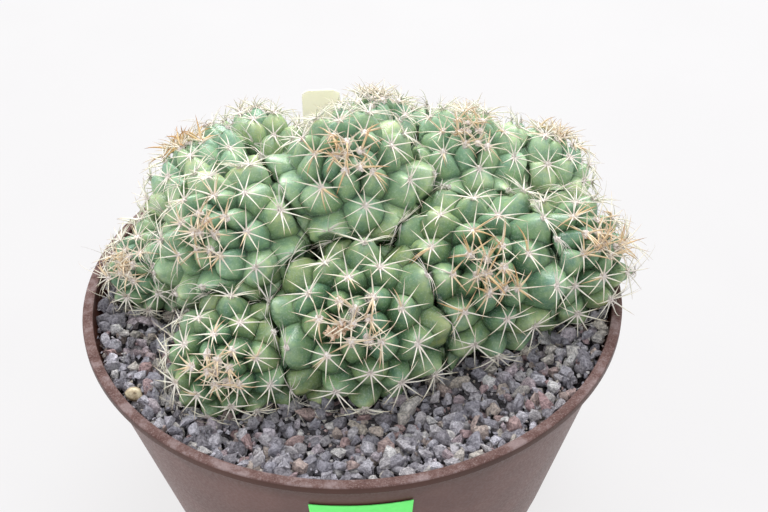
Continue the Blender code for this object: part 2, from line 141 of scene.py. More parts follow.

# The heads: middle, radius over the warts, lean and its compass angle, length of the
# lower half against the radius, how many warts a whole ball of this size would have, the
# length of the spines against the largest, how amber the tip's are, and how much painted haze of
# back light pales the skin
HEADS = {
    "head_01": ((2, -35, 100), 31.0, 41, -97, 1.10, 48, 1.0, 0.65, 0.05),
    "head_02": ((-46, -43, 93), 23.0, 50, -99, 1.00, 44, 0.78, 0.7, 0.0),
    "head_03": ((46, -13, 103), 32.0, 43, -85, 1.00, 50, 1.0, 0.88, 0.26),
    "head_04": ((0, 16, 129), 28.0, 27, -93, 1.25, 38, 1.0, 0.85, 0.95),
    "head_05": ((-43, 2, 114), 28.0, 45, -122, 1.15, 48, 1.0, 0.7, 0.95),
    "head_06": ((-78.5, 12, 92.5), 19.0, 42, -132, 1.00, 40, 0.78, 0.68, 0.9),
    "head_07": ((-57.5, 40, 109), 23.5, 38, 122, 1.20, 44, 0.9, 1.0, 1.35),
    "head_08": ((83, -1, 99), 26.0, 36, -47, 1.00, 46, 1.0, 0.82, 0.25),
    "head_09": ((48, 39, 116.5), 25.0, 12, -100, 1.20, 44, 0.9, 0.74, 1.85),
    "head_10": ((79, 43, 107), 21.5, 25, 45, 1.15, 40, 0.85, 0.7, 1.5),
    "head_11": ((10.5, 55, 117), 24.5, 14, 70, 1.20, 44, 0.8, 0.35, 0.9),
    "head_12": ((-38, 66, 110.5), 20.0, 58, 100, 1.15, 42, 0.75, 0.25, 0.9),
    "head_13": ((20, 84, 98), 19.0, 30, 78, 1.00, 38, 0.85, 0.3, 0.9),
    "head_14": ((49, 73, 101), 19.0, 30, 58, 1.00, 38, 0.85, 0.3, 0.9),
}

# The warts. Heights on a head run from -1 at its foot to 1 at its tip
GOLDEN_ANGLE = math.pi * (3 - math.sqrt(5))
BALD_BELOW = -0.80
BALD_FADE = 0.3
BALD_DEPTH = 0.3
# More warts crowd round the tip than in the solid, within about this height of it
YOUNG_WARTS = 6
YOUNG_HEIGHT = 0.07
# Valleys are deeper there, and darker with painted shade
YOUNG_DEPTH = 1.1
YOUNG_DEEP_FROM = 0.72
YOUNG_DEEP_FADE = 0.25
YOUNG_SHADE = 0.6
YOUNG_FROM = 0.2
YOUNG_FADE = 0.75
VALLEY_STEPS = 4
VALLEY_DEPTH = 0.285
VALLEY_LIMIT = 1.2
VALLEY_POWER = 1.6
WART_REACH = 0.58
WART_RINGS = (0.18, 0.36, 0.53, 0.68, 0.81, 0.91, 0.97)
COARSE_RINGS = (0.4, 0.75)
COARSE_BELOW = -0.5
WART_LIFT = 0.014
WART_LEAN = 0.07
STAR_LEAN = 0.22
APEX_SHIFT = 0.24
APEX_ROOM = 0.52
PLUMPNESS = (2.6, 0.62)
CONE_SHARE = 0.84
CONE_POWER = 1.45

# Where the heads press together. Near its neighbours a head swells to close the gaps
NEIGHBOUR_GAP = 22 * MM
GROUND_PLAY = 0.3 * MM
RIM_PLAY = 2.6 * MM
RIM_SLOPE = math.radians(60)
RIM_SWINGS = (-14, 0, 14)
SWELL = 0.25
SWELL_REACH = 12.5 * MM
SEAM_FILL = 0.45
# Painted shade: the skin is darkened within SEAM_WIDTH of a seam between heads
SEAM_SHADE = 0.9
SEAM_WIDTH = 1.3 * MM
PRESSED = 0.35 * MM
PRESS_ROUNDS = 4
WAVE_LENGTH = 2.8 * MM
WAVE_HEIGHT = 0.75 * MM

# The spines. Each kind has bounds for its rise and fall in degrees and its length and
# radius in mm: hairs in a seam, the radials of a star, its centrals, and lone centrals
SEAM_HAIR = ((10, 60), (10, 75), (7, 14), (0.14, 0.24))
RADIAL = ((12, 30), (3, 15), (10.2, 13.6), (0.30, 0.41))
CENTRAL = ((15, 60), (5, 38), (8.5, 13.0), (0.44, 0.62))
LONE_CENTRAL = ((40, 70), (5, 25), (7, 10), (0.26, 0.34))
LONE_SHARE = 0.3
# Stars get denser and steeper from TIP_FROM up, over a height of TIP_FADE
TIP_FROM = 0.62
TIP_FADE = 0.3
TIP_STEEPER = 20
TIP_SHORTER = 0.15
UPHILL_SHORTER = 0.22
SPINES_FROM = -0.6
FEW_BELOW = -0.2
BURIED = 4.5 * MM
SQUEEZED = 2.6 * MM
SPINE_POINTS = 6
SPINE_SIDES = 5
SPINE_BOW = 0.55
SPINE_TAPER = 0.85
# How far spines may reach past the CAD's box before they are drawn back in, and how much
SPINE_REACH = 3.5 * MM
DRAWN_BACK = 0.8
# How far spines stay from the other heads' balls, how high over the gravel and the rim,
# and how high at the outside of the wall
SPINE_GAP = 0.2 * MM
OVER_GROUND = 1.6 * MM
OVER_RIM = 0.5 * MM
RIM_FROM = 96 * MM
RIM_TO = 106.5 * MM
OUTSIDE_LEAST = 80 * MM
# Warts that have lost their spines, by their number down from the tip
BARE_WARTS = {("head_03", 21)}
# Loose tufts of wool: the way from the tip and how far, in radians, and the size
TUFTS = {"head_01": ((2.84, 0.05, 4.6 * MM), (2.5, 0.30, 3.2 * MM))}
# Dried flowers: the way from the tip and how far, in radians, and the size
REMNANTS = {
    "head_01": ((-0.73, 0.16, 4.6 * MM), (-0.88, 0.30, 4.4 * MM)),
    "head_06": ((0.4, 0.2, 3.4 * MM),),
}
TUFT_FIBRES = 90
FLOWER_STRIPS = 26
BARE_STUBS = 14
FIBRE_POINTS = 5
STRIP_WIDTHS = (0.7, 1, 1, 0.9, 0.6, 0.1)

# Heights of the band of painted shade under the pot's lip and of the flat of its rim
LIP_SHADE_BAND = (0.0760, 0.0885)
RIM_EDGE = 0.0914

# Materials of one noise each: roughness, specular level, the noise's scale, detail and
# roughness, colours at places along it, and the strength and depth of its bump
MOTTLED = {
    "wool": (0.95, 0.2, (1600, 3, 0.5), [
        (0.3, 0.66, 0.54, 0.48),
        (0.5, 0.86, 0.77, 0.72),
        (0.7, 0.95, 0.91, 0.88),
    ], (0.9, 0.0008)),
    "dried_flower": (0.9, 0.2, (700, 4, 0.5), [
        (0.3, 0.27, 0.15, 0.085),
        (0.5, 0.66, 0.47, 0.33),
        (0.7, 0.86, 0.74, 0.61),
    ], (0.8, 0.0006)),
    "pale_pebble": (0.45, 0.5, (330, 5, 0.6), [
        (0.38, 0.16, 0.11, 0.060),
        (0.48, 0.46, 0.36, 0.23),
        (0.60, 0.70, 0.60, 0.42),
    ], (0.5, 0.0004)),
    # Painted shade: the dark bed under the stones
    "shade_bed": (0.95, 0.2, (900, 5, 0.5), [
        (0.35, 0.030, 0.027, 0.030),
        (0.7, 0.12, 0.11, 0.115),
    ], (1.0, 0.001)),
    "sticker_paper": (0.62, 0.35, (420, 5, 0.5), [
        (0.3, 0.165, 0.93, 0.185),
        (0.7, 0.195, 0.99, 0.220),
    ], (0.15, 0.0003)),
    "tag_plastic": (0.4, 0.4, (90, 5, 0.5), [
        (0.3, 0.57, 0.52, 0.43),
        (0.7, 0.62, 0.56, 0.49),
    ], (0.1, 0.0006)),
}

# How far light runs inside the skin and the tag, in red, green and blue
SKIN_GLOW = (1.2 * MM, 2.0 * MM, 0.8 * MM)
TAG_GLOW = (6 * MM, 6 * MM, 4 * MM)

# The table and the light: the dome's strength at the horizon and overhead, and the lamps'
# places, sizes and watts
DOME = (0.55, 1.66)
DOME_COLOUR = (0.94, 0.97, 1.0, 1)
TABLE_HALF = 4
FLOOR_GLOW = 0.79
FLOOR_GLOW_COLOUR = (1.0, 0.985, 0.985, 1)
LAMP_AIM = Vector((0, 0, 0.1))
LAMPS = {
    "window": ((0.10, 0.70, 0.90), 0.6, 11.0),
    "fill": ((-0.9, -0.5, 0.32), 0.5, 1.8),
}

# The camera, fitted to the photo
CAMERA_LENS = 60.94
CAMERA_SENSOR = 36
CAMERA_PLACE = Matrix((
    (0.99894284, 0.03857303, -0.0250063, 0),
    (-0.04357643, 0.62135387, -0.78231737, -0.39386),
    (-0.01463859, 0.78258002, 0.62237788, 0.41935),
    (0, 0, 0, 1),
))


def unit(vectors):
    return vectors / np.linalg.norm(vectors, axis=-1, keepdims=True)


def uphill_at(direction):
    """A unit tangent at a direction, towards the tip."""
    towards = Vector((0, 0, 1)) - direction * direction.z
    if towards.length < 0.2:
        towards = direction.orthogonal()
    return towards.normalized()


def spiral(count):
    """Unit directions on a golden-angle spiral from +Z down, crowded round the tip."""
    fallen = np.linspace(0, 2, 4001)
    passed = count * fallen / 2 + YOUNG_WARTS * (1 - np.exp(-fallen / YOUNG_HEIGHT))
    directions = []
    for index in range(count + YOUNG_WARTS):
        height = 1 - np.interp(index + 0.5, passed, fallen)
        across = math.sqrt(1 - height * height)
        angle = (index - YOUNG_WARTS) * GOLDEN_ANGLE
        directions.append(Vector((across * math.cos(angle), across * math.sin(angle), height)))
    return directions


def middle_of(head):
    return Vector(HEADS[head][0]) * MM


def radius_of(head):
    return HEADS[head][1] * MM


def placement(head):
    lean, compass = (math.radians(angle) for angle in HEADS[head][2:4])
    turn = Matrix.Rotation(compass, 4, "Z") @ Matrix.Rotation(lean, 4, "Y")
    return Matrix.Translation(middle_of(head)) @ turn


def room_for(head):
    """The surfaces that bound a head's room, as (point, outward normal, side) rows, and how
    many of them are shared with neighbours. Those come first and are wavy, then come the
    planes of the gravel and the rim."""
    middle = middle_of(head)
    radius = radius_of(head)
    planes = []
    for other in HEADS:
        across = middle_of(other) - middle
        if other == head or across.length > radius + radius_of(other) + NEIGHBOUR_GAP:
            continue
        share = across.length_squared + radius**2 - radius_of(other) ** 2
        share /= 2 * across.length_squared
        planes.append((middle + across * share, across.normalized(), 1 if head < other else -1))
    neighbours = len(planes)
    planes.append((Vector((0, 0, GRAVEL_TOP + GROUND_PLAY)), Vector((0, 0, -1)), 0))
    for swing in RIM_SWINGS:
        outwards = Vector((middle.x, middle.y, 0)).normalized()
        outwards.rotate(Matrix.Rotation(math.radians(swing), 3, "Z"))
        edge = outwards * (WALL_TOP_RADIUS - RIM_PLAY) + Vector((0, 0, POT_HEIGHT + GROUND_PLAY))
        normal = outwards * math.cos(RIM_SLOPE) - Vector((0, 0, math.sin(RIM_SLOPE)))
        planes.append((edge, normal, 0))
    planes = [(np.array(point), np.array(normal), side) for point, normal, side in planes]
    return planes, neighbours


def past(points, plane):
    """How far points are past a bounding surface. The wave fits two neighbours together."""
    point, normal, side = plane
    x, y, z = np.moveaxis(points, -1, 0) / WAVE_LENGTH
    wave = np.sin(x + 1.3 * y) + np.sin(1.1 * y - 1.7 * z + 1) + np.sin(1.4 * z + 0.6 * x + 2)
    return (points - point) @ normal - side * WAVE_HEIGHT * wave


def nearness(points, planes):
    """From 0 far from the neighbours to 1 at the surface shared with one."""
    out = np.max([past(points, plane) for plane in planes], axis=0)
    near = np.clip(1 + out / SWELL_REACH, 0, 1)
    return near * near * (3 - 2 * near)


def pressed(points, planes):
    """The points, with those past a bounding surface flattened against it."""
    for _ in range(PRESS_ROUNDS):
        for plane in planes:
            out = past(points, plane)
            kept = -PRESSED * np.logaddexp(0, -out / PRESSED)
            points = points + plane[1] * (kept - out)[:, None]
    return points


def wart_net(warts):
    """The valley net between warts: its points' directions, and each wart's loop of them."""
    hull = bmesh.new()
    for wart in warts:
        hull.verts.new(wart)
    bmesh.ops.convex_hull(hull, input=hull.verts)
    bmesh.ops.recalc_face_normals(hull, faces=hull.faces)
    hull.normal_update()
    hull.verts.ensure_lookup_table()
    hull.faces.index_update()
    hull.edges.index_update()
    points = [face.normal.copy() for face in hull.faces]
    along = {}
    for edge in hull.edges:
        one, other = (face.index for face in edge.link_faces)
        ids = [one]
        for step in range(1, VALLEY_STEPS):
            ids.append(len(points))
            points.append(points[one].lerp(points[other], step / VALLEY_STEPS).normalized())
        along[edge.index] = ids + [other]
    loops = []
    for vert in hull.verts:
        loop = []
        corner = vert.link_loops[0]
        for _ in vert.link_faces:
            before = corner.link_loop_prev
            ids = along[before.edge.index]
            loop += (ids if ids[0] == corner.face.index else ids[::-1])[:-1]
            corner = before.link_loop_radial_next
        loops.append(loop)
    hull.free()
    return np.array(points), loops


def turned(ring):
    return ring[1:] + ring[:1]


def rings_of(first, count, size):
    """Rings of point numbers, from first on."""
    return [list(range(a, a + size)) for a in range(first, first + count * size, size)]


def sleeve(rings):
    """The faces between rings."""
    return [face for one, other in zip(rings, rings[1:])
            for face in zip(one, turned(one), turned(other), other)]


def shifted(faces, shift):
    return [tuple(v + shift for v in face) for face in faces]


def on_ball(directions, heights, radius, drop):
    """Points on a ball whose lower half is fuller and as long as drop says."""
    points = directions * (heights * radius)[:, None]
    low = directions[:, 2] < 0
    z = directions[low, 2]
    fullness = np.cbrt(1 + z**3) / np.sqrt(1.001 - z**2)
    points[low, :2] *= fullness[:, None]
    points[low, 2] *= drop
    return points


def skin_of(head, rng):
    """The head's skin: points, faces, and for each point how high on its wart it lies,
    lowered by painted shade along the seams and in the valleys near the tip, the wart's own
    tone and how near the head's tip it is. Also, for each wart, its top point, its outward and
    uphill directions, its height on the head, how far it is past the nearest bounding surface,
    and that surface's direction."""
    drop, count = HEADS[head][4:6]
    radius = radius_of(head)
    warts = spiral(count)
    net, loops = wart_net(warts)
    tops = np.array([np.array(wart) for wart in warts])
    towards = np.array([np.array(uphill_at(wart)) for wart in warts])
    spacing = math.sqrt(8 * math.pi / (math.sqrt(3) * count))
    tone = rng.uniform(0, 1, len(warts))
    lift = rng.normal(0, WART_LIFT, len(warts))

    away = np.arccos(np.clip((net @ tops.T).max(axis=1), -1, 1))
    depth = (away / (WART_REACH * spacing)) ** VALLEY_POWER
    depth = VALLEY_DEPTH * np.minimum(VALLEY_LIMIT, depth)
    depth *= np.clip((net[:, 2] - BALD_BELOW) / BALD_FADE, BALD_DEPTH, 1)
    depth *= 1 + YOUNG_DEPTH * np.clip((net[:, 2] - YOUNG_DEEP_FROM) / YOUNG_DEEP_FADE, 0, 1)
    place = np.array(placement(head))
    middle = place[:3, 3]
    planes, neighbours = room_for(head)
    full = on_ball(net, np.ones(len(net)), radius, drop) @ place[:3, :3].T + middle
    depth *= 1 - SEAM_FILL * nearness(full, planes[:neighbours])

    directions, drops, faces, apexes = [net], [depth], [], []
    wart_of = [-1] * len(net)
    for index, loop in enumerate(loops):
        room = np.arccos(np.clip(net[loop] @ tops[index], -1, 1)).min()
        apex = unit(tops[index] + towards[index] * min(spacing * APEX_SHIFT, room * APEX_ROOM))
        share = np.array(WART_RINGS if tops[index, 2] > COARSE_BELOW else COARSE_RINGS)[:, None]
        plump = 1 - (1 - share ** PLUMPNESS[0]) ** PLUMPNESS[1]
        fall = CONE_SHARE * share**CONE_POWER + (1 - CONE_SHARE) * plump
        first = len(wart_of)
        rings = rings_of(first + 1, len(share), len(loop)) + [loop]
        faces += [(first, one, other) for one, other in zip(rings[0], turned(rings[0]))]
        for one, other in zip(rings, rings[1:]):
            faces += zip(one, other, turned(other), turned(one))
        share = share[..., None]
        directions += [apex[None], unit(apex * (1 - share) + net[loop] * share).reshape(-1, 3)]
        drops += [[0], (depth[loop] * fall).ravel()]
        apexes.append(first)
        wart_of += [index] * (1 + len(share) * len(loop))
    directions = np.concatenate(directions)
    drops = np.concatenate(drops)
    wart_of = np.array(wart_of)
    rise = 1 - drops / np.maximum(drops.max(), 1e-6)
    own = wart_of >= 0
    rise[~own] = 0
    heights = 1 - drops
    heights[own] += lift[wart_of[own]] * rise[own]
    points = on_ball(directions, heights, radius, drop)
    points[own] += towards[wart_of[own]] * radius * WART_LEAN * rise[own][:, None] ** 2
    points = points @ place[:3, :3].T + middle
    near = nearness(points, planes[:neighbours])
    points = middle + (points - middle) * (1 + SWELL * near)[:, None]
    past_each = np.array([past(points[apexes], plane) for plane in planes])
    beyond = past_each.max(axis=0)
    seams = np.array([plane[1] for plane in planes])[past_each.argmax(axis=0)]
    out = np.max([past(points, plane) for plane in planes[:neighbours]], axis=0)
    points = pressed(points, planes)

    # Painted shade along the seams where heads press together
    rise *= 1 - SEAM_SHADE * np.clip(1 + out / SEAM_WIDTH, 0, 1)
    tones = np.where(own, tone[wart_of], 0.5)
    young = np.clip((directions[:, 2] - YOUNG_FROM) / YOUNG_FADE, 0, 1)
    # Painted shade: the valleys near the tip are darkened further
    rise **= 1 + YOUNG_SHADE * young**2
    ups = unit(tops + towards * STAR_LEAN) @ place[:3, :3].T
    uphill = towards @ place[:3, :3].T
    stars = list(zip(points[apexes], ups, uphill, tops[:, 2], beyond, seams))
    return points, faces, (rise, tones, young), stars


def shown(name, data, *materials):
    """An object of the mesh, lamp or camera data, in the scene."""
    for look in materials:
        data.materials.append(look)
    piece = bpy.data.objects.new(name, data)
    bpy.context.scene.collection.objects.link(piece)
    return piece


def built(name, builder, *materials):
    """An object of a finished bmesh, which is freed."""
    mesh = bpy.data.meshes.new(name)
    builder.to_mesh(mesh)
    builder.free()
    return shown(name, mesh, *materials)


def smooth_object(name, points, faces, look, attributes=()):
    mesh = bpy.data.meshes.new(name)
    mesh.from_pydata(points.tolist(), [], faces)
    for label, values in attributes:
        layer = mesh.attributes.new(label, "FLOAT", "POINT")
        layer.data.foreach_set("value", np.asarray(values, np.float32))
    mesh.shade_smooth()
    mesh.update()
    return shown(name, mesh, look)


def tubes(paths, radii, sides):
    """Points and faces of tapered tubes along (tube, step, xyz) paths, each ending in a
    point, with how far along its tube each point is, and how many points a tube has."""
    count, steps, _ = paths.shape
    tangents = unit(np.gradient(paths, axis=1))
    steep = np.abs(tangents[:, :1, 2:3]) >= 0.8
    helper = np.where(steep, [[[1.0, 0.0, 0.0]]], [[[0.0, 0.0, 1.0]]])
    side = unit(np.cross(tangents, np.broadcast_to(helper, tangents.shape)))
    other = np.cross(tangents, side)
    angles = (np.arange(sides) * TURN / sides)[None, None, :, None]
    ring = side[:, :, None] * np.cos(angles) + other[:, :, None] * np.sin(angles)
    body = paths[:, :-1, None] + ring[:, :-1] * radii[:, :-1, None, None]
    body_size = (steps - 1) * sides
    points = np.concatenate([body.reshape(count, body_size, 3), paths[:, -1:]], axis=1)
    rings = rings_of(0, steps - 1, sides)
    tip = [(one, other, body_size) for one, other in zip(rings[-1], turned(rings[-1]))]
    faces = sleeve(rings) + tip + [tuple(rings[0][::-1])]
    stride = body_size + 1
    every = [face for tube in range(count) for face in shifted(faces, tube * stride)]
    along = np.concatenate([np.repeat(np.linspace(0, 1, steps)[:-1], sides), [1.0]])
    return points.reshape(-1, 3), every, np.tile(along, count), stride


def clear_of_rest(points, head):
    """Spine points pushed out of the other heads, up from the gravel and off the rim, and
    drawn back towards the CAD's box."""
    for _ in range(2):
        for other in HEADS:
            if other == head:
                continue
            middle = np.array(middle_of(other))
            reach = radius_of(other) + SPINE_GAP
            away = points - middle
            distance = np.linalg.norm(away, axis=-1, keepdims=True)
            points = np.where(distance < reach, middle + away / distance * reach, points)
    across = np.hypot(points[..., 0], points[..., 1])
    least = np.where(across > RIM_FROM, POT_HEIGHT + OVER_RIM, ground(across) + OVER_GROUND)
    least = np.where(across > RIM_TO, OUTSIDE_LEAST, least)
    points[..., 2] = np.maximum(points[..., 2], least)
    low, high = (np.array(corner) for corner in cad_box)
    points -= DRAWN_BACK * np.maximum(points - high - SPINE_REACH, 0)
    points += DRAWN_BACK * np.maximum(low - SPINE_REACH - points, 0)
    return points


def sideways(up, uphill, angle):
    """A direction square to a wart's axis, at an angle from uphill."""
    return uphill * math.cos(angle) + np.cross(up, uphill) * math.sin(angle)


def spines_of(head, stars, rng):
    """Paths, radii and colour values of a head's spines."""
    scale, amber = HEADS[head][6:8]
    roots, firsts, ends, widths, warm, grey = [], [], [], [], [], []

    def add(hub, up, flat, rise, fall, length, width, warmth, greyness):
        rise = math.radians(rise)
        later = rise - math.radians(fall)
        roots.append(hub + up * 0.25 * MM + flat * 0.4 * MM)
        firsts.append(flat * math.cos(rise) + up * math.sin(rise))
        ends.append((flat * math.cos(later) + up * math.sin(later)) * length * MM)
        widths.append(width * MM)
        warm.append(np.clip(warmth, 0, 1))
        grey.append(np.clip(greyness, 0, 1))

    def drawn(kind):
        return (rng.uniform(*bounds) for bounds in kind)

    for index, (hub, up, uphill, level, out, seam) in enumerate(stars):
        if level < SPINES_FROM or out > BURIED or (head, index) in BARE_WARTS:
            continue
        if out > -SQUEEZED:
            # Squeezed in a seam: thin old hairs that run along it
            lifted = unit(up - seam * (up @ seam))
            along = np.cross(lifted, seam)
            for _ in range(int(rng.integers(6, 10))):
                flat = along * rng.choice((-1, 1)) + lifted * rng.normal(0, 0.3)
                flat = unit(flat - seam * rng.uniform(-0.5, 0.7))
                root = hub + lifted * rng.uniform(0, 1.5) * MM
                add(root, lifted, flat, *drawn(SEAM_HAIR), 0.05, rng.uniform(0.1, 0.9))
            continue
        near_tip = np.clip((level - TIP_FROM) / TIP_FADE, 0, 1)
        number = int(rng.integers(8, 11)) if level > FEW_BELOW else int(rng.integers(6, 9))
        number -= int(4 * near_tip**2)
        start = rng.uniform(0, TURN)
        for i in range(number):
            angle = start + (i + rng.uniform(-0.24, 0.24)) * TURN / number
            flat = sideways(up, uphill, angle)
            flat = unit(flat - up * (flat @ up))
            # Those that point uphill are shorter
            length = rng.uniform(*RADIAL[2]) * scale
            length *= 1 - UPHILL_SHORTER * max(0, math.cos(angle))
            length *= 1 - TIP_SHORTER * near_tip
            rise = rng.uniform(*RADIAL[0]) + TIP_STEEPER * near_tip
            fall, width = drawn((RADIAL[1], RADIAL[3]))
            warmth = (0.40 * near_tip + rng.uniform(-0.3, 0.12)) * amber
            add(hub, up, flat, rise, fall, length, width, warmth, rng.uniform(-0.3, 0.3))
        if near_tip > 0.25:
            for _ in range(int((rng.integers(1, 3) + 2.5 * near_tip) * (0.4 + 0.6 * amber))):
                flat = sideways(up, uphill, rng.uniform(0, TURN))
                rise, fall, length, width = drawn(CENTRAL)
                add(hub, up, flat, rise, fall, length * scale * (0.6 + 0.4 * amber),
                    width * (0.7 + 0.3 * amber), rng.uniform(0.75, 1.0) * amber, 0)
        elif rng.random() < LONE_SHARE:
            flat = sideways(up, uphill, rng.uniform(0, TURN))
            add(hub, up, flat, *drawn(LONE_CENTRAL), rng.uniform(0, 0.5) * amber, 0.1)
    roots, firsts, ends = (np.array(values) for values in (roots, firsts, ends))
    lengths = np.linalg.norm(ends, axis=1, keepdims=True)
    share = np.linspace(0, 1, SPINE_POINTS)[None, :, None]
    bend = firsts * lengths * SPINE_BOW
    paths = roots[:, None] + 2 * share * (1 - share) * bend[:, None] + share**2 * ends[:, None]
    paths[:, 1:] = clear_of_rest(paths[:, 1:], head)
    taper = np.linspace(1, 0.0, SPINE_POINTS) ** SPINE_TAPER
    return paths, np.array(widths)[:, None] * taper[None], np.array(warm), np.array(grey)


def wool_of(stars, rng):
    """Small lumpy cushions, one at the root of each star, larger at the tip."""
    ball = bmesh.new()
    bmesh.ops.create_icosphere(ball, subdivisions=2, radius=1)
    shape = np.array([v.co for v in ball.verts])
    triangles = [tuple(v.index for v in f.verts) for f in ball.faces]
    ball.free()
    points, faces = [], []
    for hub, up, uphill, level, out, _ in stars:
        if level < SPINES_FROM or out > -0.4 * MM:
            continue
        near_tip = min(1.0, max(0.0, (level - 0.7) / 0.24))
        size = (1.30 + 0.45 * near_tip) * MM
        lumps = 1 + 0.3 * rng.normal(0, 1, len(shape)).clip(-1.4, 1.4)
        local = shape * lumps[:, None] * np.array([size, size, size * 0.6])
        across = np.cross(up, uphill)
        faces += shifted(triangles, len(points) * len(shape))
        points.append(hub + local[:, :1] * uphill + local[:, 1:2] * across + local[:, 2:] * up)
    return np.concatenate(points), faces


def beside_tip(head, toward, away):
    """A point on the head's ball near its tip, and the way out from there."""
    place = np.array(placement(head))
    direction = unit(np.array([math.cos(toward) * away, math.sin(toward) * away, 1.0]))
    up = place[:3, :3] @ direction
    return up * radius_of(head) + place[:3, 3], up


def curl(root, first, bend, curve, length, steps):
    """A path that sets out one way and bends another."""
    return [root + (first * t * (1 - t * 0.5) + bend * t * t * curve) * length
            for t in np.linspace(0, 1, steps)]


def fibres_of(head, stars, rng):
    """Paths and radii of the fine curly fibres of the wool, most of them at the tip."""
    paths, widths = [], []
    for hub, up, uphill, level, out, _ in stars:
        if level < -0.3 or out > -0.5 * MM:
            continue
        near_tip = max(0.0, (level - 0.9) / 0.1)
        for _ in range(int(9 + 12 * near_tip)):
            flat = sideways(up, uphill, rng.uniform(0, TURN))
            lean = rng.uniform(0.1, 1.2)
            first = up * math.cos(lean) + flat * math.sin(lean)
            bend = unit(first + rng.normal(0, 0.8, 3))
            length = rng.uniform(1.4, 2.6) * (1 + 0.7 * near_tip) * MM
            root = hub + flat * rng.uniform(0, 0.9) * (1 + near_tip) * MM + up * 0.2 * MM
            paths.append(curl(root, first, bend, 0.6, length, FIBRE_POINTS))
            widths.append(rng.uniform(0.05, 0.10) * MM)
    for toward, away, size in TUFTS.get(head, ()):
        middle, _ = beside_tip(head, toward, away)
        for _ in range(TUFT_FIBRES):
            root = middle + rng.normal(0, 0.24, 3) * size
            first = unit(rng.normal(0, 1, 3))
            bend = unit(rng.normal(0, 1, 3))
            length = rng.uniform(0.3, 0.6) * size
            paths.append(curl(root, first, bend, 0.7, length, FIBRE_POINTS))
            widths.append(rng.uniform(0.09, 0.16) * MM)
    return np.array(paths), np.array(widths)[:, None] * np.linspace(1, 0.2, FIBRE_POINTS)[None]


def scars_of(head, stars, rng):
    """Paths and radii of the small brown stubs left on a head's bare warts."""
    paths, widths = [], []
    for index, (hub, up, uphill, *_) in enumerate(stars):
        if (head, index) not in BARE_WARTS:
            continue
        for _ in range(BARE_STUBS):
            flat = sideways(up, uphill, rng.uniform(0, TURN))
            root = hub + flat * rng.uniform(0, 1.1) * MM - up * 0.2 * MM
            end = (up + flat * rng.uniform(-0.6, 0.9)) * rng.uniform(0.7, 1.7) * MM
            paths.append([root + end * t for t in np.linspace(0, 1, len(STRIP_WIDTHS))])
            widths.append(rng.uniform(0.22, 0.40) * MM)
    return paths, widths


def remnants_of(head, stars, rng):
    """Paths and radii of the curled brown strips of dried flowers beside a head's tip, and
    of the stubs on its bare warts."""
    paths, widths = scars_of(head, stars, rng)
    for toward, away, size in REMNANTS.get(head, ()):
        middle, up = beside_tip(head, toward, away)
        for _ in range(FLOWER_STRIPS):
            first = unit(up + rng.normal(0, 0.75, 3))
            bend = unit(first + rng.normal(0, 1.0, 3))
            length = rng.uniform(0.45, 0.9) * size
            root = middle + rng.normal(0, 0.14, 3) * size
            paths.append(curl(root, first, bend, 0.7, length, len(STRIP_WIDTHS)))
            widths.append(rng.uniform(0.10, 0.19) * size)
    return np.array(paths), np.array(widths)[:, None] * np.array(STRIP_WIDTHS)[None]


def put(node, **values):
    """Set a node's inputs. An underscore stands for a space in an input's name."""
    for name, value in values.items():
        node.inputs[name.replace("_", " ")].default_value = value


def material(name, roughness, specular=0.5):
    made = bpy.data.materials.new(name)
    made.use_nodes = True
    shader = made.node_tree.nodes["Principled BSDF"]
    put(shader, Roughness=roughness, Specular_IOR_Level=specular)
    return made, made.node_tree, shader


def ramp(tree, source, stops):
    """A colour ramp over a value. A stop is its position and then a colour or a grey."""
    node = tree.nodes.new("ShaderNodeValToRGB")
    elements = node.color_ramp.elements
    while len(elements) < len(stops):
        elements.new(0.5)
    for element, (position, *colour) in zip(elements, stops):
        element.position = position
        element.color = (*colour * (3 // len(colour)), 1)
    tree.links.new(source, node.inputs["Fac"])
    return node.outputs["Color"]


def mixed(tree, factor, one, other, blend="MIX"):
    """A mix of two colours, each a socket or a colour, by a socket or a number."""
    node = tree.nodes.new("ShaderNodeMix")
    node.data_type = "RGBA"
    node.blend_type = blend
    for index, value in ((0, factor), (6, one), (7, other)):
        socket = node.inputs[index]
        if isinstance(value, bpy.types.NodeSocket):
            tree.links.new(value, socket)
        else:
            socket.default_value = (*value, 1) if isinstance(value, tuple) else value
    return node.outputs[2]


def times(tree, one, other):
    """A colour times another, or times a number."""
    return mixed(tree, 1.0, one, (other,) * 3 if isinstance(other, float) else other, "MULTIPLY")


def pattern(tree, kind, scale, detail=3.0, roughness=0.5):
    """A noise or cell pattern in the object's own coordinates, which are metres."""
    place = tree.nodes.new("ShaderNodeTexCoord")
    node = tree.nodes.new(kind)
    tree.links.new(place.outputs["Object"], node.inputs["Vector"])
    put(node, Scale=scale, Detail=detail, Roughness=roughness)
    return node.outputs


def noise_of(tree, scale, detail, roughness=0.5):
    return pattern(tree, "ShaderNodeTexNoise", scale, detail, roughness)["Fac"]


def cells_of(tree, scale):
    return pattern(tree, "ShaderNodeTexVoronoi", scale)


def attribute(tree, name):
    node = tree.nodes.new("ShaderNodeAttribute")
    node.attribute_name = name
    return node.outputs["Fac"]


def coloured(tree, shader, colour):
    tree.links.new(colour, shader.inputs["Base Color"])


def bumped(tree, shader, height, strength, distance):
    bump = tree.nodes.new("ShaderNodeBump")
    put(bump, Strength=strength, Distance=distance)
    tree.links.new(height, bump.inputs["Height"])
    tree.links.new(bump.outputs["Normal"], shader.inputs["Normal"])


def mottled_material(name):
    """One of the materials in MOTTLED, and its shader."""
    roughness, specular, grain, stops, relief = MOTTLED[name]
    made, tree, shader = material(name, roughness, specular)
    source = noise_of(tree, *grain)
    coloured(tree, shader, ramp(tree, source, stops))
    bumped(tree, shader, source, *relief)
    return made, shader


